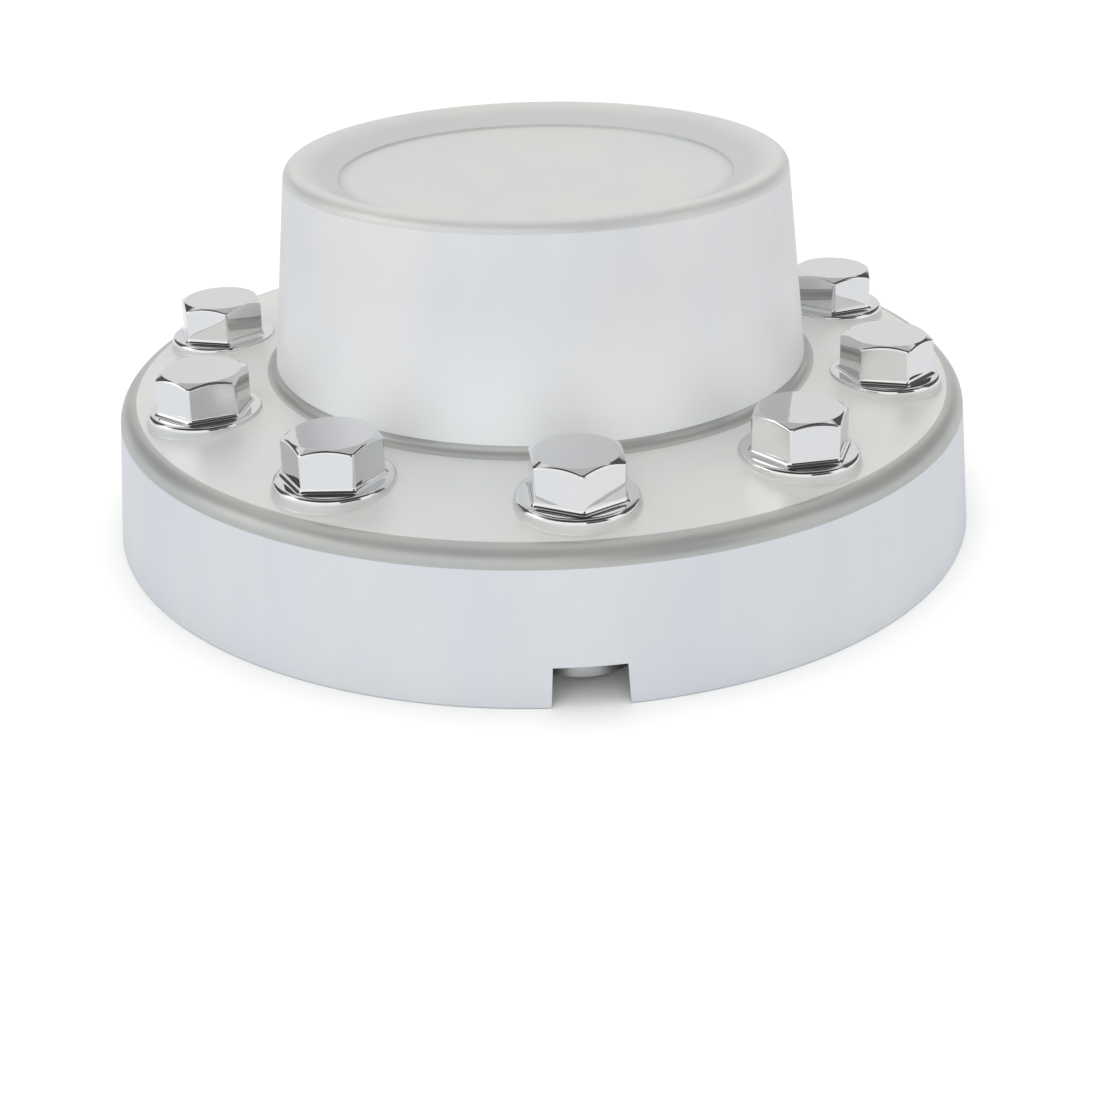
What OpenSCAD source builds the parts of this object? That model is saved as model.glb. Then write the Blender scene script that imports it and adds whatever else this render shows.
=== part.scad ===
// Rear axle cover of a heavy truck wheel: a skirt, a sloped face with ten hexagon nut covers on the
// bolt circle, and a tall dome over the hub. It is one moulding, plated outside and hollow behind.
// The origin is the centre of the skirt's foot, and +Z points out from the wheel.

/* [Wheel] */
// Diameter of the wheel's bolt circle
bolt_circle_d = 335; // [326:1:340]
// Number of wheel nuts
nut_count = 10; // [6:1:10]
// Size of the wheel nuts across their flats
nut_af = 33; // [30:0.5:34]
// Diameter of the round flange of a wheel nut
nut_flange_d = 46; // [42:0.5:47]

/* [Walls] */
// Thickness of the skirt, face and dome
wall = 3; // [2:0.1:4]
// Thickness of the round socket over a wheel nut
socket_wall = 2.4; // [1.8:0.1:3]
// Thickness of a hexagon nut cover
hex_wall = 2.1; // [1.6:0.1:3]

/* [Skirt] */
// Outer diameter of the skirt at its foot
skirt_foot_d = 418; // [414:1:440]
// Height of the skirt, to the corner where its side would meet the face
skirt_h = 66; // [60:0.5:75]
// Draft of the skirt's wall, in degrees
skirt_draft = 4.8; // [1:0.1:6]
// Rounding between the skirt and the face
skirt_edge_r = 9; // [5:0.5:11]
// Rounding of the outer edge of the skirt's foot
foot_edge_r = 0.8; // [0.4:0.1:1.2]

/* [Face] */
// Fall of the face from the dome to the skirt, in degrees
face_slope = 6.2; // [3:0.1:7]

/* [Dome] */
// Diameter of the dome where it leaves the face
dome_foot_d = 258.6; // [240:0.5:262]
// Height of the whole cover, from the skirt's foot to the dome's rim
cover_h = 174; // [150:1:190]
// Draft of the dome's wall, in degrees
dome_draft = 5.8; // [2:0.1:7]
// Hollow rounding between the face and the dome
dome_foot_r = 5.2; // [3:0.1:7]
// Rounding of the dome's rim
rim_r = 6; // [4:0.5:8]
// Fall of the dished top behind the rim, in degrees
dish_slope = 22.5; // [12:0.5:28]
// Diameter of the flat panel in the dished top
panel_d = 188; // [150:1:196]
// Step down from the dished edge to the flat panel
panel_step = 1.2; // [0.6:0.1:2]

/* [Nut covers] */
// Height of a flange above the face, on its side near the dome
flange_rise = 1.2; // [0.8:0.1:4]
// Height of a hexagon above its flange
hex_h = 18.6; // [14:0.1:26]
// Slope of the chamfer at the top of a hexagon, in degrees
hex_chamfer = 30; // [20:1:40]
// Share of the hexagon's width that the flat top disc takes
hex_top_share = 0.94; // [0.88:0.01:0.96]
// Depth that the hexagon's corners are turned off
corner_relief = 0.6; // [0.3:0.1:1]
// Rounding of a flange's edge
flange_edge_r = 0.8; // [0.4:0.1:1]

/* [Nut sockets] */
// Height of the sockets' mouths above the skirt's foot
mouth_z = 4; // [2:0.5:10]
// Depth of the round mouth that takes a wheel nut's flange
mouth_depth = 14; // [10:0.5:18]
// Play around a wheel nut's flange, on each side
flange_play = 0.5; // [0.3:0.1:0.8]
// Play around a wheel nut's hexagon, on each side
nut_play = 0.3; // [0.2:0.05:0.5]
// Thickness of a grip rib
rib_t = 2; // [1.5:0.1:3]
// Press of a grip rib on a wheel nut's flat
rib_press = 0.1; // [0:0.05:0.2]
// Height of the sloped end that leads a nut in between the ribs
rib_lead = 5; // [3:0.5:8]

/* [Notch] */
// Width of the notch in the skirt's foot, at its top
notch_w = 30; // [20:1:40]
// Height of the notch
notch_h = 17.4; // [10:0.1:22]
// Draft of the notch's sides, in degrees
notch_draft = 3; // [0:0.5:6]

/* [Hidden] */
$fn = 144;
past = 1;
hex_sides = 6;
nut_step = 360 / nut_count;
first_nut = -90;
bolt_r = bolt_circle_d / 2;
skirt_foot_r = skirt_foot_d / 2;
dome_foot_radius = dome_foot_d / 2;

// Corners of the outer form, as radius and height, before they are rounded
edge_r_at_face = skirt_foot_r - skirt_h * tan(skirt_draft);
dome_foot_z = face_z(dome_foot_radius);
rim_centre_z = cover_h - rim_r;
rim_centre_r = dome_r(rim_centre_z) - rim_r / cos(dome_draft);
dish_tangent = [rim_centre_r - rim_r * sin(dish_slope), rim_centre_z + rim_r * cos(dish_slope)];
dish_foot_z = dish_tangent.y - (dish_tangent.x - panel_d / 2) * tan(dish_slope);
panel_z = dish_foot_z - panel_step;
rim_corner_r = (dome_foot_radius - (dish_z(0) - dome_foot_z) * tan(dome_draft))
    / (1 + tan(dish_slope) * tan(dome_draft));

// Sizes of a nut cover and its socket
socket_bore_r = nut_flange_d / 2 + flange_play;
socket_r = socket_bore_r + socket_wall;
flange_z = face_z(bolt_r - socket_r) + flange_rise;
socket_top_z = flange_z - socket_wall;
nut_pocket_af = nut_af + 2 * nut_play;
hex_af = nut_pocket_af + 2 * hex_wall;
hex_top_z = flange_z + hex_h;
mouth_step = 0.3;
rib_tip_r = nut_af / 2 - rib_press;

// Height of the face at radius r, radius of the dome's wall at height z, height of the dish at radius r
function face_z(r) = skirt_h + (edge_r_at_face - r) * tan(face_slope);
function dome_r(z) = dome_foot_radius - (z - dome_foot_z) * tan(dome_draft);
function dish_z(r) = dish_tangent.y + (r - dish_tangent.x) * tan(dish_slope);

// Distance from a hexagon's centre to its corners, for a width across flats
function corner_r(af) = af / 2 / cos(180 / hex_sides);

// Helpers for rounding the corner b between its neighbours a and c
function unit(v) = v / norm(v);
function half_corner(a, b, c) = acos(unit(a - b) * unit(c - b)) / 2;
function tangent_run(a, b, c, r) = r / tan(half_corner(a, b, c));
function arc_centre(a, b, c, r) = b + unit(unit(a - b) + unit(c - b)) * r / sin(half_corner(a, b, c));
function is_outside(a, b, c) = cross(b - a, c - b) > 0;

// The corners of an outline moved inwards by d, for an outline whose first and last corners lie on
// the axis and whose second corner is on the ground
function inward(p, q) = unit([p.y - q.y, q.x - p.x]);
function moved_corner(a, b, c, d) =
    b + unit(inward(a, b) + inward(b, c)) * d / cos(acos(inward(a, b) * inward(b, c)) / 2);

// A closed outline with each corner i rounded by radii[i]: outside corners get a disc, hollow ones lose it
module rounded_outline(points, radii) {
    last = len(points) - 1;
    function before(i) = points[i == 0 ? last : i - 1];
    function after(i) = points[i == last ? 0 : i + 1];
    function ends(i) = radii[i] == 0 ? [points[i]] :
        let (run = tangent_run(before(i), points[i], after(i), radii[i]))
        [points[i] + unit(before(i) - points[i]) * run, points[i] + unit(after(i) - points[i]) * run];
    module disc(i) {
        translate(arc_centre(before(i), points[i], after(i), radii[i]))
            circle(r = radii[i]);
    }
    difference() {
        union() {
            polygon([for (i = [0:last]) each ends(i)]);
            for (i = [0:last])
                if (radii[i] > 0 && is_outside(before(i), points[i], after(i)))
                    disc(i);
        }
        for (i = [0:last])
            if (radii[i] > 0 && !is_outside(before(i), points[i], after(i)))
                disc(i);
    }
}

// Corners of the cover's outer form from the ground up to the dished top
form_corners = [
    [skirt_foot_r, 0],
    [edge_r_at_face, skirt_h],
    [dome_foot_radius, dome_foot_z],
    [rim_corner_r, dish_z(rim_corner_r)],
    [panel_d / 2, dish_foot_z],
    [panel_d / 2 - panel_step, panel_z]
];
form_radii = [foot_edge_r, skirt_edge_r, dome_foot_r, rim_r, 0, 0];

module outer_form() {
    rotate_extrude()
        rounded_outline(
            concat([[0, 0]], form_corners, [[0, panel_z]]),
            concat([0], form_radii, [0])
        );
}

// The hollow behind the walls: the outer form's corners moved in by one wall, open at the ground
module inner_form() {
    count = len(form_corners);
    foot_in = wall / cos(skirt_draft);
    inner_corners = [for (i = [1:count - 1])
        moved_corner(form_corners[i - 1], form_corners[i],
            i == count - 1 ? [0, panel_z] : form_corners[i + 1], wall)];
    below = past * tan(skirt_draft);
    rotate_extrude()
        rounded_outline(
            concat(
                [[0, -past], [skirt_foot_r - foot_in + below, -past]],
                inner_corners,
                [[0, panel_z - wall]]
            ),
            [0, 0, skirt_edge_r - wall, dome_foot_r + wall, rim_r - wall, 0, 0, 0]
        );
}

module at_each_nut() {
    for (i = [0:nut_count - 1])
        rotate(first_nut + i * nut_step)
            translate([bolt_r, 0, 0])
                children();
}

// The hexagon of a nut cover: turned corners and a chamfered top around a flat disc
module hexagon() {
    turned_r = corner_r(hex_af) - corner_relief;
    top_r = hex_af / 2 * hex_top_share;
    chamfer_drop = (turned_r - top_r) * tan(hex_chamfer);
    base_z = socket_top_z;
    intersection() {
        translate([0, 0, base_z])
            cylinder(r = corner_r(hex_af), h = hex_top_z - base_z + past, $fn = hex_sides);
        rotate_extrude()
            polygon([
                [0, base_z - past],
                [turned_r, base_z - past],
                [turned_r, hex_top_z - chamfer_drop],
                [top_r, hex_top_z],
                [0, hex_top_z]
            ]);
    }
}

// The round body of a nut cover, from the socket's mouth up to its flange with a rounded edge
module socket_body() {
    rotate_extrude()
        rounded_outline(
            [[0, mouth_z], [socket_r, mouth_z], [socket_r, flange_z], [0, flange_z]],
            [0, 0, flange_edge_r, 0]
        );
}

// A rib that grips a wheel nut's flat, with a sloped lower end
module grip_rib() {
    rib_z = mouth_z + mouth_depth;
    rotate([90, 0, 0])
        translate([0, 0, -rib_t / 2])
            linear_extrude(rib_t)
                polygon([
                    [socket_bore_r + socket_wall / 2, rib_z],
                    [socket_bore_r - mouth_step, rib_z],
                    [rib_tip_r, rib_z + rib_lead],
                    [rib_tip_r, socket_top_z + socket_wall / 2],
                    [socket_bore_r + socket_wall / 2, socket_top_z + socket_wall / 2]
                ]);
}

// The hollow of a nut cover: a round mouth, a ribbed socket and a hexagon pocket under the top
module nut_hollow() {
    rib_z = mouth_z + mouth_depth;
    translate([0, 0, mouth_z - past])
        cylinder(r = socket_bore_r, h = mouth_depth + past);
    difference() {
        translate([0, 0, rib_z - past])
            cylinder(r = socket_bore_r - mouth_step, h = socket_top_z - rib_z + past);
        for (i = [0:hex_sides - 1])
            rotate(180 / hex_sides + i * 360 / hex_sides)
                grip_rib();
    }
    translate([0, 0, socket_top_z - past])
        cylinder(r = corner_r(nut_pocket_af), h = hex_top_z - hex_wall - socket_top_z + past, $fn = hex_sides);
}

// The notch in the skirt's foot, below the first nut cover
module foot_notch() {
    flare = (notch_h + past) * tan(notch_draft);
    bow = skirt_foot_r - sqrt(pow(skirt_foot_r, 2) - pow(notch_w / 2 + flare, 2));
    reach = bow + wall / cos(skirt_draft) + notch_h * tan(skirt_draft) + past;
    rotate(first_nut)
        translate([skirt_foot_r - reach, 0, -past])
            rotate([90, 0, 90])
                linear_extrude(reach + past)
                    polygon([
                        [-notch_w / 2 - flare, 0],
                        [notch_w / 2 + flare, 0],
                        [notch_w / 2, notch_h + past],
                        [-notch_w / 2, notch_h + past]
                    ]);
}

module axle_cover() {
    color("gainsboro")
        difference() {
            union() {
                difference() {
                    outer_form();
                    inner_form();
                }
                at_each_nut() {
                    socket_body();
                    hexagon();
                }
            }
            at_each_nut()
                nut_hollow();
            foot_notch();
        }
}

axle_cover();
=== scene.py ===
"""Looks of a chromed one-piece cover for the rear hub of a truck wheel.

The cover is drawn as ten equal wedges around the axle, one for each nut cover. A wedge is made of strips
of points, outside and inside, and a node tree turns the copies into one closed moulding.
"""

from math import asin, atan2, cos, degrees, hypot, pi, radians, sin, sqrt, tan

import bpy
from mathutils import Matrix, Vector


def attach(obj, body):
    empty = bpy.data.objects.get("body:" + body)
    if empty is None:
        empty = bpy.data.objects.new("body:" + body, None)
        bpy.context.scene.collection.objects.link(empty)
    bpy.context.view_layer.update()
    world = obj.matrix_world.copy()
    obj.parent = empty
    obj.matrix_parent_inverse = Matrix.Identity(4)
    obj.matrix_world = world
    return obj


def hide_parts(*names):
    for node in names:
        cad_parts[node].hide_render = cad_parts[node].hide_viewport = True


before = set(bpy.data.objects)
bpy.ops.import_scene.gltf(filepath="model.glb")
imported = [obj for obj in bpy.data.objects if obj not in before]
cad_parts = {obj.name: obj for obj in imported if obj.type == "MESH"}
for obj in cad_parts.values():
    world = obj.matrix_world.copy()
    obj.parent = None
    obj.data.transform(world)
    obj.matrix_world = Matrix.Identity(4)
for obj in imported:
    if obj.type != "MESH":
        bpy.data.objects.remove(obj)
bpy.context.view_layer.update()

MM = 0.001
NODE = "axle_cover"

# Places of the finishes in their list, which the faces carry as numbers
# The band finish is painted shade: the roundings at the skirt's edge and at the dome's foot get a darker
# plating, standing in for the dark reflections that chrome roundings show
SKIRT, DOME, FACE, PANEL, RIM, SHADED_BAND, MIRROR, BACK = range(8)

# Wheel, in millimetres
BOLT_CIRCLE_D = 335
NUT_COUNT = 10
HEX_SIDES = 6
NUT_AF = 33
NUT_FLANGE_D = 46

# Walls, in millimetres
WALL = 3
SOCKET_WALL = 2.4
HEX_WALL = 2.1

# Skirt and face, in millimetres and degrees
SKIRT_FOOT_D = 418
SKIRT_H = 66
SKIRT_DRAFT = 4.8
SKIRT_EDGE_R = 9
FOOT_EDGE_R = 0.8
FACE_SLOPE = 6.2

# Dome, in millimetres and degrees
DOME_FOOT_D = 258.6
COVER_H = 174
DOME_DRAFT = 5.8
DOME_FOOT_R = 5.2
RIM_R = 6
DISH_SLOPE = 22.5
PANEL_D = 188
PANEL_STEP = 1.2
PANEL_EDGE_R = 0.7

# Nut covers, in millimetres and degrees
FLANGE_RISE = 1.2
FLANGE_EDGE_R = 2.2
FLANGE_EDGE_SHARE = 0.5
COLLAR_FOOT_R = 1.1
COLLAR_FOOT_SHARE = 0.45
HEX_H = 18.6
HEX_CHAMFER = 30
HEX_TOP_SHARE = 0.94
HEX_CORNER_R = 2
HEX_FOOT_R = 2.5
HEX_EDGE_R = 1.7
HEX_DISC_R = 1

# Nut sockets, in millimetres
MOUTH_Z = 4
MOUTH_DEPTH = 14
MOUTH_STEP = 0.3
FLANGE_PLAY = 0.5
NUT_PLAY = 0.3
RIB_T = 2
RIB_PRESS = 0.1
RIB_LEAD = 5
RIB_END_GAP = 1
MOUTH_EDGE = 0.5
POCKET_CORNER_R = 0.4

# Notch in the skirt's foot, in millimetres and degrees
NOTCH_W = 30
NOTCH_H = 17.4
NOTCH_DRAFT = 3

# Columns of the mesh: across a wedge, along its sides, in half a notch, then at a hexagon's corners and
# flats and between its ribs
WEDGE_COLUMNS = 32
SIDE_COLUMNS = 16
NOTCH_COLUMNS = 4
CORNER_COLUMNS = 6
FLAT_COLUMNS = 10
BORE_COLUMNS = 6

# Steps in each rounding, from the skirt's foot to the panel, then at a nut cover from its collar up
FOOT_EDGE_STEPS = 3
SKIRT_EDGE_STEPS = 14
DOME_FOOT_STEPS = 9
RIM_STEPS = 12
PANEL_EDGE_STEPS = 3
INSIDE_STEPS = 6
COLLAR_STEPS = 4
HEX_FOOT_STEPS = 9
HEX_EDGE_STEPS = 7
HEX_DISC_STEPS = 3

# Rows between those: shares of the way from a wedge's edge to a nut cover and from the rim of a nut cover's
# disc to its middle, heights on a socket outside and on its ribs, and the longest step on the dome, in
# millimetres
FACE_SHARES = (0.3, 0.6, 0.8, 0.93)
UNDER_SHARES = (0.3, 0.6, 0.85)
DISC_SHARES = (0.7, 0.35, 0)
SOCKET_ROWS_Z = (40, 20)
RIB_ROW_Z = 45
LONGEST_STEP = 16

# First nut cover and notch, facing the viewer, and the joining of the wedges
FIRST_NUT_DEG = -90
WELD = 0.005
SHARP_DEG = 40

# Plating: patches of tint and of haze to a metre, the noise between which they fade, how far they are
# drawn out up a wall, then the grains of its skin to a metre and its depth in millimetres
PATCHES_PER_M = 16.0
HAZE_PER_M = 45.0
PATCH_FADE = (0.3, 0.7)
DRAWN_OUT = 0.3
SKIN_PER_M = 300.0
SKIN_DEPTH = 0.4

# Painted shade and painted light in the plating's colour, in millimetres: painted shade in the groove
# around the panel, between the radii where it fades in and out, and painted light down the dome's wall
# towards its foot, offsetting the shade there, between two heights. The tints go with them.
GROOVE_SHADE_RADII = (88.0, 94.0, 102.0, 112.0)
GROOVE_SHADE_TINT = (0.30, 0.32, 0.36)
DOME_FOOT_LIGHT_HEIGHTS = (76.0, 150.0)
DOME_FOOT_LIGHT_TINT = (0.88, 0.895, 0.91)

# The photograph's view, in millimetres and degrees
LENS_MM = 56.79
SENSOR_MM = 36
VIEW_DISTANCE = 852.77
VIEW_ELEVATION_DEG = 19.37
VIEW_AZIMUTH_DEG = -4.656
VIEW_ROLL_DEG = -1.39
VIEW_TARGET_Z = 88
SHIFT_X = 0.0094
SHIFT_Y = -0.2061
NEAREST = 10

# Studio, in metres and degrees. The floor's lift is a little light of its own that only the camera sees.
FLOOR_SIDE = 40
FLOOR_GRAIN_PER_M = 40.0
FLOOR_ROUGHNESS = 0.6
FLOOR_LIFT = 0.06
SOFTNESS_DEG = 50

# Brightness of the surroundings, where 1 is white: what all else is lit by, and what reflections see in
# front, behind and overhead, with the angles between which they change, in degrees
AMBIENT = 0.78
FRONT_LEVEL = 1.08
BACK_LEVEL = 0.84
FRONT_TO_BACK = (90.0, 140.0)
CEILING_LEVEL = 0.55
WALL_TO_CEILING = (50.0, 60.0)

# Tint of the surroundings, from low to high over the floor, between two heights in degrees
TINT_HEIGHT = (-5.0, 45.0)
LOW_TINT = (0.98, 0.99, 1.0)
HIGH_TINT = (1.0, 0.995, 0.975)

# Screens that reflections see: the angles around from the front, then up from the floor, at which each
# fades in, is whole, is whole still and has faded out, in degrees, and its brightness
SCREENS = (
    ((-108.0, -96.0, 96.0, 108.0), (36.0, 43.0, 82.0, 88.0), 0.06),
    ((-104.0, -98.0, -78.0, -70.0), (12.0, 18.0, 36.0, 42.0), 1.8),
    ((78.0, 86.0, 136.0, 146.0), (8.0, 14.0, 46.0, 52.0), 0.1),
    ((-155.0, -146.0, -113.0, -105.0), (7.0, 12.0, 41.0, 47.0), 0.1),
    ((6.0, 14.0, 46.0, 54.0), (5.0, 10.0, 34.0, 40.0), 0.05),
)


def tan_d(angle):
    return tan(radians(angle))


def cos_d(angle):
    return cos(radians(angle))


def sin_d(angle):
    return sin(radians(angle))


# Derived sizes, worked out as the part's source does
bolt_r = BOLT_CIRCLE_D / 2
wedge_deg = 360 / NUT_COUNT
hex_turn = 360 / HEX_SIDES
foot_r = SKIRT_FOOT_D / 2
dome_foot_r = DOME_FOOT_D / 2
edge_r_at_face = foot_r - SKIRT_H * tan_d(SKIRT_DRAFT)


def face_z(r):
    """Height of the sloped face at distance r from the axle."""
    return SKIRT_H + (edge_r_at_face - r) * tan_d(FACE_SLOPE)


def under_z(r):
    """Height of the underside of the face at distance r from the axle."""
    return face_z(r) - WALL / cos_d(FACE_SLOPE)


dome_foot_z = face_z(dome_foot_r)
rim_centre_z = COVER_H - RIM_R
rim_centre_r = dome_foot_r - (rim_centre_z - dome_foot_z) * tan_d(DOME_DRAFT) - RIM_R / cos_d(DOME_DRAFT)
dish_r = rim_centre_r - RIM_R * sin_d(DISH_SLOPE)
dish_z = rim_centre_z + RIM_R * cos_d(DISH_SLOPE)
dish_foot_z = dish_z - (dish_r - PANEL_D / 2) * tan_d(DISH_SLOPE)
panel_z = dish_foot_z - PANEL_STEP
dish_axis_z = dish_z - dish_r * tan_d(DISH_SLOPE)
rim_corner_r = (dome_foot_r - (dish_axis_z - dome_foot_z) * tan_d(DOME_DRAFT)) / (
    1 + tan_d(DISH_SLOPE) * tan_d(DOME_DRAFT)
)
rim_corner_z = dish_axis_z + rim_corner_r * tan_d(DISH_SLOPE)

socket_bore_r = NUT_FLANGE_D / 2 + FLANGE_PLAY
socket_r = socket_bore_r + SOCKET_WALL
rib_bore_r = socket_bore_r - MOUTH_STEP
rib_tip_r = NUT_AF / 2 - RIB_PRESS
flange_z = face_z(bolt_r - socket_r) + FLANGE_RISE
socket_top_z = flange_z - SOCKET_WALL
pocket_apothem = NUT_AF / 2 + NUT_PLAY
hex_apothem = pocket_apothem + HEX_WALL
hex_top_z = flange_z + HEX_H
hex_disc_r = hex_apothem * HEX_TOP_SHARE


def rounded_path(corners, radii, steps):
    """Points along an open line of (radius, height) corners, each rounded by its own radius in steps."""
    path = [Vector(corners[0])]
    for i in range(1, len(corners) - 1):
        here = Vector(corners[i])
        to_last = (Vector(corners[i - 1]) - here).normalized()
        to_next = (Vector(corners[i + 1]) - here).normalized()
        if radii[i] == 0:
            path.append(here)
            continue
        half = to_last.angle(to_next) / 2
        centre = here + (to_last + to_next).normalized() * radii[i] / sin(half)
        start = here + to_last * radii[i] / tan(half) - centre
        end = here + to_next * radii[i] / tan(half) - centre
        turn = start.angle(end)
        for k in range(steps[i] + 1):
            share = k / steps[i]
            arm = (start * sin((1 - share) * turn) + end * sin(share * turn)) / sin(turn)
            path.append(centre + arm)
    path.append(Vector(corners[-1]))
    return path


def between(start, end, count):
    """Values from start to end, both included, in count equal steps."""
    return [start + (end - start) * k / count for k in range(count + 1)]


def filled(path, longest):
    """The path with points added, so that no stretch is longer than the given length."""
    out = [path[0]]
    for last, point in zip(path, path[1:]):
        parts = max(1, int((point - last).length // longest) + 1)
        out += [last.lerp(point, k / parts) for k in range(1, parts + 1)]
    return out


class Moulding:
    """Strips of points in millimetres, joined to faces that each carry a finish."""

    def __init__(self):
        self.points = []
        self.faces = []
        self.finishes = []

    def face(self, points, finish, flip=False):
        first = len(self.points)
        self.points += [tuple(p) for p in points]
        order = list(range(first, first + len(points)))
        self.faces.append(order[::-1] if flip else order)
        self.finishes.append(finish)

    def strips(self, rows, finish, flip=False, skip=()):
        """Quads between each row and the next. A row is a list of points, and skip holds (row, column)."""
        for i, (low, high) in enumerate(zip(rows, rows[1:])):
            for j in range(len(low) - 1):
                if (i, j) not in skip:
                    self.face([low[j], low[j + 1], high[j + 1], high[j]], finish, flip)

    def mesh(self, name):
        mesh = bpy.data.meshes.new(name)
        mesh.from_pydata([Vector(p) * MM for p in self.points], [], self.faces)
        zone = mesh.attributes.new("finish", "INT", "FACE")
        zone.data.foreach_set("value", self.finishes)
        mesh.update()
        return mesh


def notch_angle(column, r, z, notched):
    """Angle of a column of the skirt, in degrees. Near a notch the columns gather on its two edges."""
    plain = wedge_deg * (column / WEDGE_COLUMNS - 0.5)
    if not notched:
        return plain
    half = NOTCH_W / 2 + max(0, NOTCH_H - z) * tan_d(NOTCH_DRAFT)
    edge = degrees(asin(half / r))
    at = column - WEDGE_COLUMNS / 2
    edge_column = wedge_deg * NOTCH_COLUMNS / WEDGE_COLUMNS
    if abs(at) <= NOTCH_COLUMNS:
        warped = plain * edge / edge_column
    else:
        run = (wedge_deg / 2 - edge) / (wedge_deg / 2 - edge_column)
        warped = (edge + (abs(plain) - edge_column) * run) * (1 if at > 0 else -1)
    fade = min(1, max(0, (z - NOTCH_H) / (SKIRT_H - SKIRT_EDGE_R - NOTCH_H)))
    return warped + (plain - warped) * fade


def arc_row(r, z, notched=False):
    """A row of points across the wedge, at radius r and height z."""
    row = []
    for column in range(WEDGE_COLUMNS + 1):
        angle = notch_angle(column, r, z, notched) if r > 0 else 0
        row.append((r * cos_d(angle), r * sin_d(angle), z))
    return row


def hex_corner(apothem, corner_r):
    """How far out a hexagon's corner rounding is centred, and the direction in which its flat begins."""
    centre = (apothem - corner_r) / cos_d(hex_turn / 2)
    flat = atan2(corner_r * sin_d(hex_turn / 2), centre + corner_r * cos_d(hex_turn / 2))
    return centre, degrees(flat)


def hex_reach(angle, apothem, corner_r):
    """Distance from a hexagon's centre to its rounded outline, in the direction of angle."""
    off = abs((angle + hex_turn / 2) % hex_turn - hex_turn / 2)
    centre, flat = hex_corner(apothem, corner_r)
    if off < flat:
        across = centre * sin_d(off)
        return centre * cos_d(off) + sqrt(corner_r**2 - across**2)
    return apothem / cos_d(hex_turn / 2 - off)


def hex_columns():
    """Direction of each column around a nut cover, in degrees: close together at the hexagon's corners."""
    start = hex_corner(hex_apothem, HEX_CORNER_R)[1]
    half_corner = between(0, start, CORNER_COLUMNS // 2)
    flat = between(start, hex_turn - start, FLAT_COLUMNS)
    one = half_corner + flat[1:-1] + [hex_turn - a for a in half_corner[:0:-1]]
    return [side * hex_turn + a for side in range(HEX_SIDES) for a in one]


COLUMNS = hex_columns()


def around_nut(reach, height, angles=None):
    """A closed row around the nut's centre. reach and height are numbers or functions of the direction."""
    row = []
    for angle in angles or COLUMNS:
        r = reach(angle) if callable(reach) else reach
        x, y = bolt_r + r * cos_d(angle), r * sin_d(angle)
        z = height(angle, hypot(x, y)) if callable(height) else height
        row.append((x, y, z))
    return row + [row[0]]


def wedge_edge(outer_r, inner_r, surface):
    """The closed row around a wedge of the face, starting straight out from the axle."""
    half = wedge_deg / 2
    across = WEDGE_COLUMNS // 2
    polar = [(outer_r, a) for a in between(0, half, across)]
    polar += [(r, half) for r in between(outer_r, inner_r, SIDE_COLUMNS)[1:]]
    polar += [(inner_r, a) for a in between(half, -half, WEDGE_COLUMNS)[1:]]
    polar += [(r, -half) for r in between(inner_r, outer_r, SIDE_COLUMNS)[1:]]
    polar += [(outer_r, a) for a in between(-half, 0, across)[1:]]
    return [(r * cos_d(a), r * sin_d(a), surface(r)) for r, a in polar]


def spread(edge, hole, surface, shares):
    """Rows between the wedge's edge and a hole's row, laid on a surface around the axle."""
    rows = [edge]
    for share in shares:
        row = []
        for a, b in zip(edge, hole):
            x, y = a[0] + (b[0] - a[0]) * share, a[1] + (b[1] - a[1]) * share
            row.append((x, y, surface(hypot(x, y))))
        rows.append(row)
    return rows + [hole]


def nut_cover_rows():
    """Rows of a nut cover: from the face up its collar, then on to the middle of its hexagon's top."""

    def stand(angle):
        x, y = bolt_r + socket_r * cos_d(angle), socket_r * sin_d(angle)
        return flange_z - face_z(hypot(x, y))

    def foot(angle):
        return min(COLLAR_FOOT_R, COLLAR_FOOT_SHARE * stand(angle))

    def edge(angle):
        return min(FLANGE_EDGE_R, FLANGE_EDGE_SHARE * stand(angle))

    def side(angle, wider=0):
        return hex_reach(angle, hex_apothem + wider, HEX_CORNER_R + wider)

    def chamfer_z(angle):
        return hex_top_z - (side(angle) - hex_disc_r) * tan_d(HEX_CHAMFER)

    collar = []
    for turn in between(0, 90, COLLAR_STEPS):
        collar.append(around_nut(
            lambda a: socket_r + foot(a) * (1 - sin_d(turn)),
            lambda a, r: face_z(r) + foot(a) * (1 - cos_d(turn)),
        ))
    rows = []
    for turn in between(0, 90, COLLAR_STEPS):
        rows.append(around_nut(
            lambda a: socket_r - edge(a) * (1 - cos_d(turn)),
            lambda a, r: flange_z - edge(a) * (1 - sin_d(turn)),
        ))
    collar.append(rows[0])
    for turn in between(0, 90, HEX_FOOT_STEPS):
        rows.append(around_nut(
            lambda a: side(a, HEX_FOOT_R * (1 - sin_d(turn))),
            flange_z + HEX_FOOT_R * (1 - cos_d(turn)),
        ))
    run = HEX_EDGE_R * tan_d((90 - HEX_CHAMFER) / 2)
    for turn in between(0, 90 - HEX_CHAMFER, HEX_EDGE_STEPS):
        rows.append(around_nut(
            lambda a: side(a) - HEX_EDGE_R * (1 - cos_d(turn)),
            lambda a, r: chamfer_z(a) - run + HEX_EDGE_R * sin_d(turn),
        ))
    run = HEX_DISC_R * tan_d(HEX_CHAMFER / 2)
    centre_r = hex_disc_r - run
    for turn in between(90 - HEX_CHAMFER, 90, HEX_DISC_STEPS):
        rows.append(around_nut(
            centre_r + HEX_DISC_R * cos_d(turn),
            hex_top_z - HEX_DISC_R * (1 - sin_d(turn)),
        ))
    rows += [around_nut(centre_r * share, hex_top_z) for share in DISC_SHARES]
    return collar, rows


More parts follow.
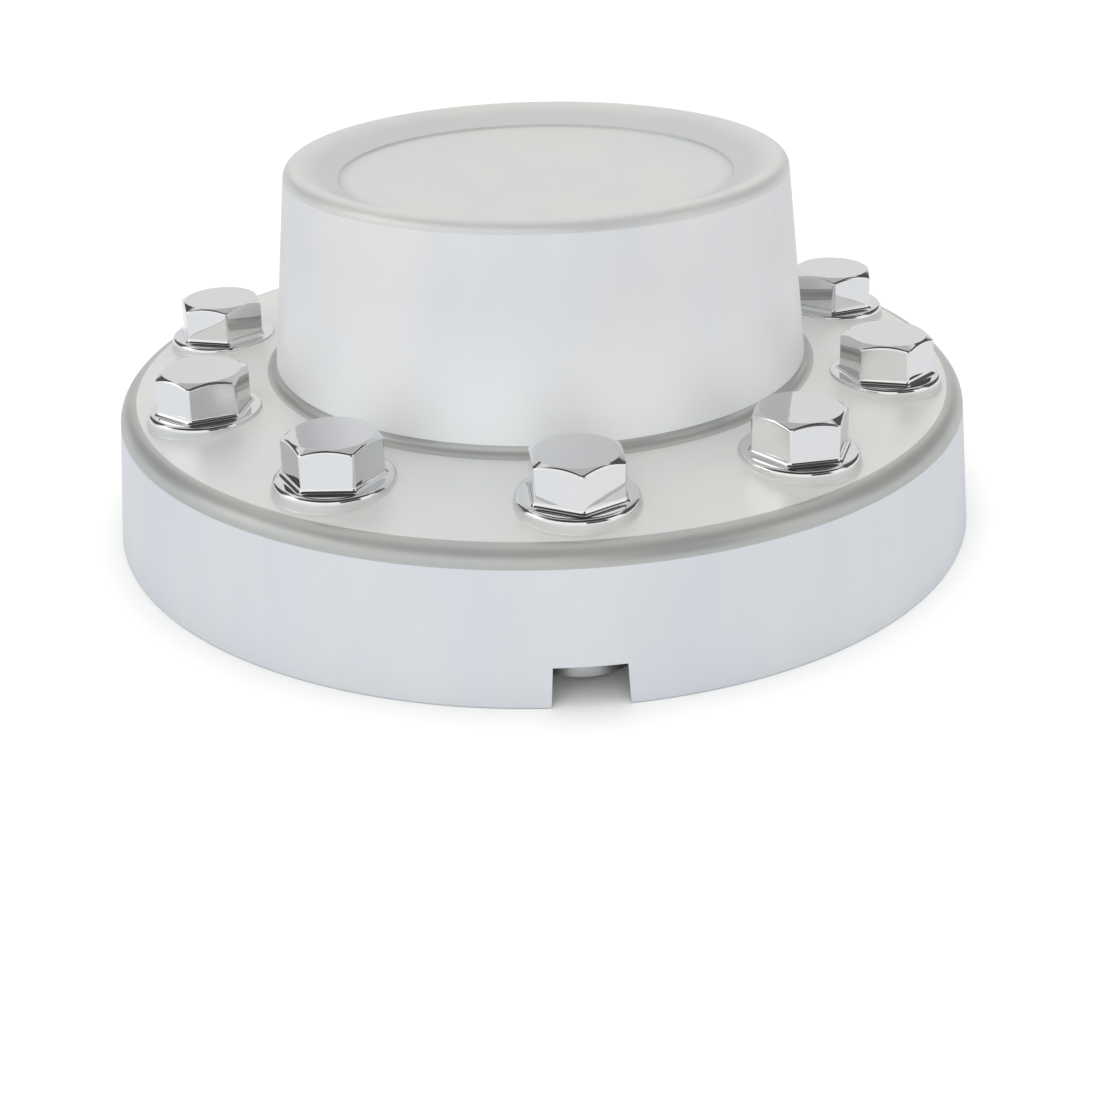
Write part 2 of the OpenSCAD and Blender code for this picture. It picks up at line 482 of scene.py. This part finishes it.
def rib_columns(tip_r, root_r):
    """Reach and direction of the columns in a ribbed socket, with a rib in the middle of each flat."""
    root = degrees(asin(RIB_T / 2 / root_r))
    tip_x = min(tip_r, root_r * cos_d(root))
    tip = degrees(atan2(RIB_T / 2, tip_x))
    tip_edge = hypot(tip_x, RIB_T / 2)
    bore = between(0, hex_turn / 2 - root, BORE_COLUMNS)
    rib = [(tip_edge, hex_turn / 2 - tip), (tip_x, hex_turn / 2), (tip_edge, hex_turn / 2 + tip)]
    one = [(root_r, a) for a in bore] + rib + [(root_r, hex_turn - a) for a in bore[:0:-1]]
    return [(r, side * hex_turn + a) for side in range(HEX_SIDES) for r, a in one]


def rib_row(tip_r, root_r, z):
    """A closed row around the nut's centre, in along each rib to tip_r and out to root_r between them."""
    row = []
    for r, angle in rib_columns(tip_r, root_r):
        row.append((bolt_r + r * cos_d(angle), r * sin_d(angle), z))
    return row + [row[0]]


def pocket_row(z):
    """A row of the hexagon pocket, with its columns gathered behind the ribs."""
    tip = degrees(atan2(RIB_T / 2, pocket_apothem))
    one = between(0, hex_turn / 2 - 2 * tip, BORE_COLUMNS)
    one += [hex_turn / 2 - tip, hex_turn / 2, hex_turn / 2 + tip]
    one += between(hex_turn / 2 + 2 * tip, hex_turn, BORE_COLUMNS)[:-1]
    angles = [side * hex_turn + a for side in range(HEX_SIDES) for a in one]
    return around_nut(lambda a: hex_reach(a, pocket_apothem, POCKET_CORNER_R), z, angles)


def socket_rows():
    """Rows of a socket from the underside of the face, down its outside and up its inside."""
    edge_z = MOUTH_Z + MOUTH_EDGE
    rib_z = MOUTH_Z + MOUTH_DEPTH
    rib_end_z = socket_top_z - RIB_END_GAP
    pocket_z = hex_top_z - HEX_WALL
    rows = [around_nut(socket_r, lambda a, r: under_z(r))]
    rows += [around_nut(socket_r, z) for z in (*SOCKET_ROWS_Z, edge_z)]
    rows += [around_nut(r, MOUTH_Z) for r in (socket_r - MOUTH_EDGE, socket_bore_r + MOUTH_EDGE)]
    rows += [around_nut(socket_bore_r, z) for z in (edge_z, rib_z)]
    rows += [rib_row(rib_bore_r, rib_bore_r, rib_z)]
    rows += [rib_row(rib_tip_r, rib_bore_r, z) for z in (rib_z + RIB_LEAD, RIB_ROW_Z, rib_end_z)]
    rows += [rib_row(pocket_apothem, rib_bore_r, z) for z in (rib_end_z, socket_top_z)]
    rows += [pocket_row(z) for z in (socket_top_z, pocket_z)]
    rows += [around_nut(0, pocket_z)]
    return rows


def at_level(path, z):
    """The path with a point added where it first passes height z, and that point's place in it."""
    for i, (low, high) in enumerate(zip(path, path[1:])):
        if low.y < z < high.y:
            share = (z - low.y) / (high.y - low.y)
            return path[:i + 1] + [low.lerp(high, share)] + path[i + 1:], i + 1
    raise ValueError("the path doesn't pass that height")


def inset(corners, distance):
    """The corners between the first and the last, moved in by distance along both of their sides."""
    moved = []
    for a, b, c in zip(corners, corners[1:], corners[2:]):
        before = Vector((a[1] - b[1], b[0] - a[0])).normalized()
        after = Vector((b[1] - c[1], c[0] - b[0])).normalized()
        middle = (before + after).normalized()
        moved.append(Vector(b) + middle * distance / cos(before.angle(after) / 2))
    return moved


def profiles():
    """The skirt's and the dome's lines outside, then the same inside, from the foot to the axle."""
    form = [
        (foot_r, 0),
        (edge_r_at_face, SKIRT_H),
        (dome_foot_r, dome_foot_z),
        (rim_corner_r, rim_corner_z),
        (PANEL_D / 2, dish_foot_z),
        (PANEL_D / 2 - PANEL_STEP, panel_z),
        (0, panel_z),
    ]
    inner_foot = (foot_r - WALL / cos_d(SKIRT_DRAFT), 0)
    radii = [0, FOOT_EDGE_R, SKIRT_EDGE_R, DOME_FOOT_R, RIM_R, PANEL_EDGE_R, PANEL_EDGE_R, 0]
    steps = [0, FOOT_EDGE_STEPS, SKIRT_EDGE_STEPS, DOME_FOOT_STEPS, RIM_STEPS]
    steps += [PANEL_EDGE_STEPS, PANEL_EDGE_STEPS, 0]
    outside = rounded_path([inner_foot] + form, radii, steps)
    cut = 1 + (FOOT_EDGE_STEPS + 1) + (SKIRT_EDGE_STEPS + 1)

    inner = [inner_foot] + inset(form, WALL) + [(0, panel_z - WALL)]
    inner_radii = [0, SKIRT_EDGE_R - WALL, DOME_FOOT_R + WALL, RIM_R - WALL, 0, 0, 0]
    inside = rounded_path(inner, inner_radii, [INSIDE_STEPS] * len(inner))
    inner_cut = 1 + (INSIDE_STEPS + 1)
    return outside[:cut], outside[cut:], inside[:inner_cut], inside[inner_cut:]


def turned(path, notched=False):
    """Rows across the wedge, one for each point of a line."""
    return [arc_row(p.x, p.y, notched) for p in path]


def add_skirt(body, skirt, skirt_in, notched):
    """The skirt outside and inside, with the notch's sides and top where it has one."""
    skirt, top = at_level(skirt, NOTCH_H)
    skirt_in, top_in = at_level(skirt_in, NOTCH_H)
    rows = turned(skirt, notched)
    rows_in = turned(skirt_in, notched)
    middle = WEDGE_COLUMNS // 2
    gap = range(middle - NOTCH_COLUMNS, middle + NOTCH_COLUMNS)
    skip = {(i, j) for i in range(top) for j in gap} if notched else ()
    skip_in = {(i, j) for i in range(top_in) for j in gap} if notched else ()
    body.strips(rows[:-SKIRT_EDGE_STEPS], SKIRT, skip=skip)
    body.strips(rows[-SKIRT_EDGE_STEPS - 1:], SHADED_BAND)
    body.strips(rows_in, BACK, flip=True, skip=skip_in)
    if not notched:
        return
    for column, flip in ((gap.start, False), (gap.stop, True)):
        side = [row[column] for row in rows[top::-1]]
        side += [row[column] for row in rows_in[1:top_in + 1]]
        body.face(side, SKIRT, flip)
    lip = slice(gap.start, gap.stop + 1)
    body.strips([rows_in[top_in][lip], rows[top][lip]], SKIRT)


def add_dome(body, dome, dome_in):
    """The dome from its foot to the axle, outside and inside."""
    rim = DOME_FOOT_STEPS + 1
    panel = rim + RIM_STEPS + 2 * (PANEL_EDGE_STEPS + 1)
    body.strips(turned(dome[:rim]), SHADED_BAND)
    for first, last, finish in ((rim - 1, rim, DOME), (rim, panel, RIM), (panel, len(dome), PANEL)):
        body.strips(turned(filled(dome[first:last + 1], LONGEST_STEP)), finish)
    body.strips(turned(filled(dome_in, LONGEST_STEP)), BACK, flip=True)


def add_face(body, outer_r, inner_r):
    """The face between two radii, with the nut cover that stands on it."""
    collar, cover = nut_cover_rows()
    edge = wedge_edge(outer_r, inner_r, face_z)
    body.strips(spread(edge, collar[0], face_z, FACE_SHARES), FACE)
    body.strips(collar, FACE)
    body.strips(cover, MIRROR)


def add_underside(body, outer_r, inner_r):
    """The underside of the face between two radii, with the socket that holds the nut."""
    socket = socket_rows()
    edge = wedge_edge(outer_r, inner_r, under_z)
    body.strips(spread(edge, socket[0], under_z, UNDER_SHARES), BACK, flip=True)
    body.strips(socket, BACK, flip=True)


def wedge(name, notched):
    """One wedge of the moulding as a mesh, with a notch in its foot or without."""
    body = Moulding()
    skirt, dome, skirt_in, dome_in = profiles()
    add_skirt(body, skirt, skirt_in, notched)
    add_dome(body, dome, dome_in)
    add_face(body, skirt[-1].x, dome[0].x)
    add_underside(body, skirt_in[-1].x, dome_in[0].x)
    return body.mesh(name)


class Wire:
    """A socket of a node tree. A sum written with wires adds the Math nodes that work it out."""

    def __init__(self, tree, socket):
        self.tree = tree
        self.socket = socket

    def __add__(self, other):
        return self.tree.maths("ADD", self, other)

    def __radd__(self, other):
        return self.tree.maths("ADD", other, self)

    def __sub__(self, other):
        return self.tree.maths("SUBTRACT", self, other)

    def __rsub__(self, other):
        return self.tree.maths("SUBTRACT", other, self)

    def __mul__(self, other):
        return self.tree.maths("MULTIPLY", self, other)

    def __rmul__(self, other):
        return self.tree.maths("MULTIPLY", other, self)

    def __truediv__(self, other):
        return self.tree.maths("DIVIDE", self, other)

    def __rtruediv__(self, other):
        return self.tree.maths("DIVIDE", other, self)

    def __abs__(self):
        return self.tree.maths("ABSOLUTE", self)

    def step(self, low, high, start=0.0, end=1.0):
        """Eases from start, where the wire is at low, to end, where it is at high."""
        return self.tree.node(
            "ShaderNodeMapRange", {"interpolation_type": "SMOOTHSTEP"}, self, low, high, start, end
        )

    def within(self, low_off, low_on, high_on, high_off):
        """1 where the wire lies between low_on and high_on, eased to 0 on both sides."""
        return self.step(low_off, low_on) * self.step(high_on, high_off, 1.0, 0.0)


class Tree:
    """A node tree that grows one node at a time."""

    def __init__(self, tree):
        tree.nodes.clear()
        self.nodes = tree.nodes
        self.links = tree.links

    def node(self, kind, settings=None, *values, out=0, **named):
        """Adds a node, fills its sockets in order or by name, and gives one of its outputs."""
        made = self.nodes.new(kind)
        for key, setting in (settings or {}).items():
            setattr(made, key, setting)
        sockets = [socket for socket in made.inputs if socket.enabled]
        pairs = list(zip(sockets, values))
        pairs += [(made.inputs[name.replace("_", " ")], value) for name, value in named.items()]
        for socket, value in pairs:
            if isinstance(value, Wire):
                self.links.new(value.socket, socket)
            else:
                socket.default_value = value
        if not made.outputs:
            return made
        enabled = [socket for socket in made.outputs if socket.enabled]
        return Wire(self, made.outputs[out] if isinstance(out, str) else enabled[out])

    def maths(self, operation, *values):
        return self.node("ShaderNodeMath", {"operation": operation}, *values)

    def vector_maths(self, operation, *values, out="Vector"):
        return self.node("ShaderNodeVectorMath", {"operation": operation}, *values, out=out)

    def parts(self, wire):
        """The X, Y and Z of a vector."""
        split = self.node("ShaderNodeSeparateXYZ", None, wire).socket.node
        return [Wire(self, socket) for socket in split.outputs]

    def noise(self, where, scale, detail=2.0, roughness=0.5):
        return self.node(
            "ShaderNodeTexNoise", None, Vector=where, Scale=scale, Detail=detail, Roughness=roughness
        )

    def blend(self, share, low, high):
        """A colour between low and high, each a wire or its red, green and blue."""
        low, high = (c if isinstance(c, Wire) else (*c, 1) for c in (low, high))
        return self.node("ShaderNodeMix", {"data_type": "RGBA"}, share, low, high)


def plating(name, cool, warm, rough, peel, metallic=1.0, groove_shade=0.0, foot=0.0):
    """A plated finish, hazy and tinted in patches.

    cool and warm are its two tints, rough its least and most roughness, peel how much of its skin shows and
    metallic its metal share. groove_shade is how much painted shade darkens it in the groove around the
    panel, and foot how much painted light brightens it towards the foot of the dome, offsetting the shade
    low on its wall.
    """
    material = bpy.data.materials.new(name)
    material.use_nodes = True
    tree = Tree(material.node_tree)
    place = tree.node("ShaderNodeTexCoord", out="Object")
    drawn = tree.vector_maths("MULTIPLY", place, (1, 1, DRAWN_OUT))
    patches = tree.noise(drawn, PATCHES_PER_M, detail=5.0, roughness=0.6)
    haze = tree.noise(drawn, HAZE_PER_M, detail=4.0, roughness=0.6)
    skin = tree.noise(place, SKIN_PER_M)
    colour = tree.blend(patches.step(*PATCH_FADE), cool, warm)
    # Painted shade: a darker tint in the groove around the panel
    if groove_shade:
        flat = tree.vector_maths("MULTIPLY", place, (1, 1, 0))
        radius = tree.vector_maths("LENGTH", flat, out="Value") / MM
        colour = tree.blend(radius.within(*GROOVE_SHADE_RADII) * groove_shade, colour, GROOVE_SHADE_TINT)
    # Painted light: a lighter tint low on the dome's wall, offsetting the shade that falls there
    if foot:
        height = tree.parts(place)[2] / MM
        colour = tree.blend(height.step(*DOME_FOOT_LIGHT_HEIGHTS, foot, 0.0), colour, DOME_FOOT_LIGHT_TINT)
    roughness = rough[0] + (rough[1] - rough[0]) * haze.step(*PATCH_FADE)
    bump = tree.node("ShaderNodeBump", None, Strength=peel, Distance=SKIN_DEPTH * MM, Height=skin)
    shader = tree.node(
        "ShaderNodeBsdfPrincipled", None,
        Base_Color=colour, Metallic=metallic, Roughness=roughness, Normal=bump,
    )
    tree.node("ShaderNodeOutputMaterial", None, shader)
    return material


def ring_tree(materials):
    """A node tree that copies a plain wedge around the axle and gives each face its finish."""
    group = bpy.data.node_groups.new("ring_of_nut_covers", "GeometryNodeTree")
    sockets = {}
    for label, kind in (
        ("Geometry", "NodeSocketGeometry"),
        ("Plain wedge", "NodeSocketObject"),
        ("Nut covers", "NodeSocketInt"),
        ("Weld distance", "NodeSocketFloat"),
    ) + tuple((material.name, "NodeSocketMaterial") for material in materials):
        sockets[label] = group.interface.new_socket(label, in_out="INPUT", socket_type=kind).identifier
    group.interface.new_socket("Geometry", in_out="OUTPUT", socket_type="NodeSocketGeometry")
    tree = Tree(group)
    given = {socket.name: Wire(tree, socket) for socket in tree.node("NodeGroupInput").socket.node.outputs}

    plain = tree.node("GeometryNodeObjectInfo", None, given["Plain wedge"], out="Geometry")
    places = tree.node("GeometryNodePoints", None, given["Nut covers"] - 1)
    turn = 2 * pi / given["Nut covers"] * (tree.node("GeometryNodeInputIndex") + 1)
    spin = tree.node("FunctionNodeEulerToRotation", None, tree.node("ShaderNodeCombineXYZ", None, Z=turn))
    copies = tree.node("GeometryNodeInstanceOnPoints", None, Points=places, Instance=plain, Rotation=spin)
    whole = tree.node("GeometryNodeRealizeInstances", None, copies)
    joined = tree.node("GeometryNodeJoinGeometry")
    for part in (whole, given["Geometry"]):
        tree.links.new(part.socket, joined.socket.node.inputs[0])
    near = given["Weld distance"]
    dressed = tree.node("GeometryNodeMergeByDistance", None, Geometry=joined, Distance=near)
    finish = tree.node("GeometryNodeInputNamedAttribute", {"data_type": "INT"}, "finish")
    for index, material in enumerate(materials):
        chosen = tree.node("FunctionNodeCompare", {"data_type": "INT", "operation": "EQUAL"}, finish, index)
        dressed = tree.node(
            "GeometryNodeSetMaterial", None,
            Geometry=dressed, Selection=chosen, Material=given[material.name],
        )
    tree.node("NodeGroupOutput", None, dressed)
    return group, sockets


def moulding(name, materials):
    """The whole cover as one closed mesh: a notched wedge and the copies of a plain one."""
    notched = bpy.data.objects.new(name + "_grown", wedge("notched_wedge", True))
    plain = bpy.data.objects.new("plain_wedge", wedge("plain_wedge", False))
    for piece in (notched, plain):
        bpy.context.scene.collection.objects.link(piece)
        piece.data.transform(Matrix.Rotation(radians(FIRST_NUT_DEG), 4, "Z"))
    group, sockets = ring_tree(materials)
    modifier = notched.modifiers.new("ring", "NODES")
    modifier.node_group = group
    values = {"Plain wedge": plain, "Nut covers": NUT_COUNT, "Weld distance": WELD * MM}
    values |= {material.name: material for material in materials}
    for label, value in values.items():
        modifier[sockets[label]] = value
    bpy.context.view_layer.update()
    grown = notched.evaluated_get(bpy.context.evaluated_depsgraph_get())
    mesh = bpy.data.meshes.new_from_object(grown)
    mesh.name = name
    notched.modifiers.clear()
    for piece in (notched, plain):
        bpy.data.objects.remove(piece)
    mesh.shade_smooth()
    mesh.set_sharp_from_angle(angle=radians(SHARP_DEG))
    cover = bpy.data.objects.new(name, mesh)
    bpy.context.scene.collection.objects.link(cover)
    return cover


def soften(piece):
    """Weights the normals by face size, so that flats stay flat beside their rounded edges."""
    modifier = piece.modifiers.new("flats", "WEIGHTED_NORMAL")
    modifier.keep_sharp = True
    piece.data = bpy.data.meshes.new_from_object(
        piece.evaluated_get(bpy.context.evaluated_depsgraph_get())
    )
    piece.modifiers.clear()


def studio_world():
    """White behind the object, and a soft studio for whatever is reflected."""
    world = bpy.data.worlds.new("studio")
    world.use_nodes = True
    bpy.context.scene.world = world
    tree = Tree(world.node_tree)
    x, y, z = tree.parts(tree.node("ShaderNodeTexCoord", out="Generated"))
    height = tree.maths("ARCSINE", z) * (180 / pi)
    side = tree.maths("ARCTAN2", x, -1 * y) * (180 / pi)

    level = abs(side).step(*FRONT_TO_BACK, FRONT_LEVEL, BACK_LEVEL)
    zones = [(height.step(*WALL_TO_CEILING), CEILING_LEVEL)]
    zones += [(side.within(*around) * height.within(*up), bright) for around, up, bright in SCREENS]
    for share, bright in zones:
        level = level + share * (bright - level)
    is_glossy = tree.node("ShaderNodeLightPath", out="Is Glossy Ray")
    level = AMBIENT + is_glossy * (level - AMBIENT)
    tint = tree.blend(height.step(*TINT_HEIGHT), LOW_TINT, HIGH_TINT)
    reflected = tree.node("ShaderNodeBackground", None, tint, level)
    seen = tree.node("ShaderNodeBackground", None, (1, 1, 1, 1), 1.0)
    is_camera = tree.node("ShaderNodeLightPath", out="Is Camera Ray")
    mixed = tree.node("ShaderNodeMixShader", None, is_camera, reflected, seen)
    tree.node("ShaderNodeOutputWorld", None, mixed)


def studio_floor():
    """A wide pale floor, white to the camera outside the object's shadow."""
    bpy.ops.mesh.primitive_plane_add(size=FLOOR_SIDE)
    floor = bpy.context.object
    floor.name = "studio_floor"
    material = bpy.data.materials.new("pale_floor")
    material.use_nodes = True
    tree = Tree(material.node_tree)
    place = tree.node("ShaderNodeTexCoord", out="Object")
    grain = tree.noise(place, FLOOR_GRAIN_PER_M, detail=3.0)
    cool = tree.blend(grain, (0.655, 0.67, 0.69), (0.67, 0.685, 0.705))
    plain = tree.blend(grain, (0.75, 0.75, 0.75), (0.765, 0.765, 0.765))
    reflected = tree.node("ShaderNodeBsdfPrincipled", None, Base_Color=cool, Roughness=FLOOR_ROUGHNESS)
    seen = tree.node(
        "ShaderNodeBsdfPrincipled", None, Base_Color=plain, Roughness=FLOOR_ROUGHNESS,
        Emission_Color=(1, 1, 1, 1), Emission_Strength=FLOOR_LIFT,
    )
    is_camera = tree.node("ShaderNodeLightPath", out="Is Camera Ray")
    mixed = tree.node("ShaderNodeMixShader", None, is_camera, reflected, seen)
    tree.node("ShaderNodeOutputMaterial", None, mixed)
    floor.data.materials.append(material)


def soft_light(name, place, strength):
    """Broad, even light that falls from place towards the origin, over the whole floor alike."""
    light = bpy.data.lights.new(name, "SUN")
    light.angle = radians(SOFTNESS_DEG)
    light.energy = strength
    lit = bpy.data.objects.new(name, light)
    lit.rotation_euler = Vector(place).to_track_quat("Z", "Y").to_euler()
    lit.visible_glossy = False
    bpy.context.scene.collection.objects.link(lit)


def camera():
    """The photograph's view: its lens, its distance and its height over the floor."""
    lens = bpy.data.cameras.new("camera")
    lens.lens = LENS_MM
    lens.sensor_width = SENSOR_MM
    lens.shift_x = SHIFT_X
    lens.shift_y = SHIFT_Y
    lens.clip_start = NEAREST * MM
    lens.dof.use_dof = False
    viewer = bpy.data.objects.new("camera", lens)
    azimuth, elevation = radians(VIEW_AZIMUTH_DEG), radians(VIEW_ELEVATION_DEG)
    away = Vector((sin(azimuth) * cos(elevation), -cos(azimuth) * cos(elevation), sin(elevation)))
    target = Vector((0, 0, VIEW_TARGET_Z * MM))
    viewer.location = target + away * VIEW_DISTANCE * MM
    facing = (-away).to_track_quat("-Z", "Y").to_matrix().to_4x4()
    viewer.rotation_euler = (facing @ Matrix.Rotation(radians(VIEW_ROLL_DEG), 4, "Z")).to_euler()
    bpy.context.scene.collection.objects.link(viewer)
    bpy.context.scene.camera = viewer


finishes = [
    plating(
        "skirt_plating", cool=(0.65, 0.68, 0.72), warm=(0.70, 0.715, 0.735),
        rough=(0.44, 0.50), peel=0.03, metallic=0.45,
    ),
    # The dome carries painted light towards its foot
    plating(
        "dome_plating", cool=(0.665, 0.68, 0.705), warm=(0.715, 0.715, 0.72),
        rough=(0.44, 0.50), peel=0.03, metallic=0.25, foot=0.8,
    ),
    plating(
        "face_plating", cool=(0.655, 0.67, 0.665), warm=(0.685, 0.68, 0.655),
        rough=(0.40, 0.46), peel=0.01, metallic=0.5,
    ),
    # The panel and the rim carry painted shade in the groove around the panel
    plating(
        "panel_plating", cool=(0.59, 0.605, 0.61), warm=(0.62, 0.615, 0.60),
        rough=(0.42, 0.48), peel=0.02, metallic=0.45, groove_shade=0.3,
    ),
    plating(
        "rim_plating", cool=(0.61, 0.615, 0.63), warm=(0.64, 0.635, 0.62),
        rough=(0.42, 0.48), peel=0.03, metallic=0.5, groove_shade=0.22,
    ),
    # Painted shade: a darker plating on the roundings at the skirt's edge and the dome's foot, standing in
    # for their dark reflections
    plating(
        "band_plating", cool=(0.44, 0.455, 0.445), warm=(0.47, 0.475, 0.455),
        rough=(0.34, 0.40), peel=0.03, metallic=0.6,
    ),
    plating(
        "mirror_plating", cool=(0.755, 0.76, 0.78), warm=(0.785, 0.78, 0.775),
        rough=(0.02, 0.05), peel=0.03,
    ),
    plating(
        "back_plating", cool=(0.70, 0.71, 0.72), warm=(0.75, 0.735, 0.71),
        rough=(0.38, 0.52), peel=0.12,
    ),
]
cover = moulding("cover_moulding", finishes)
soften(cover)
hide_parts(NODE)
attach(cover, "root")

studio_world()
studio_floor()
soft_light("front_light", (-0.5, -1.4, 1.6), 0.9)
soft_light("top_light", (0.1, 0.2, 1.9), 1.4)
camera()
bpy.context.scene.view_settings.view_transform = "Standard"
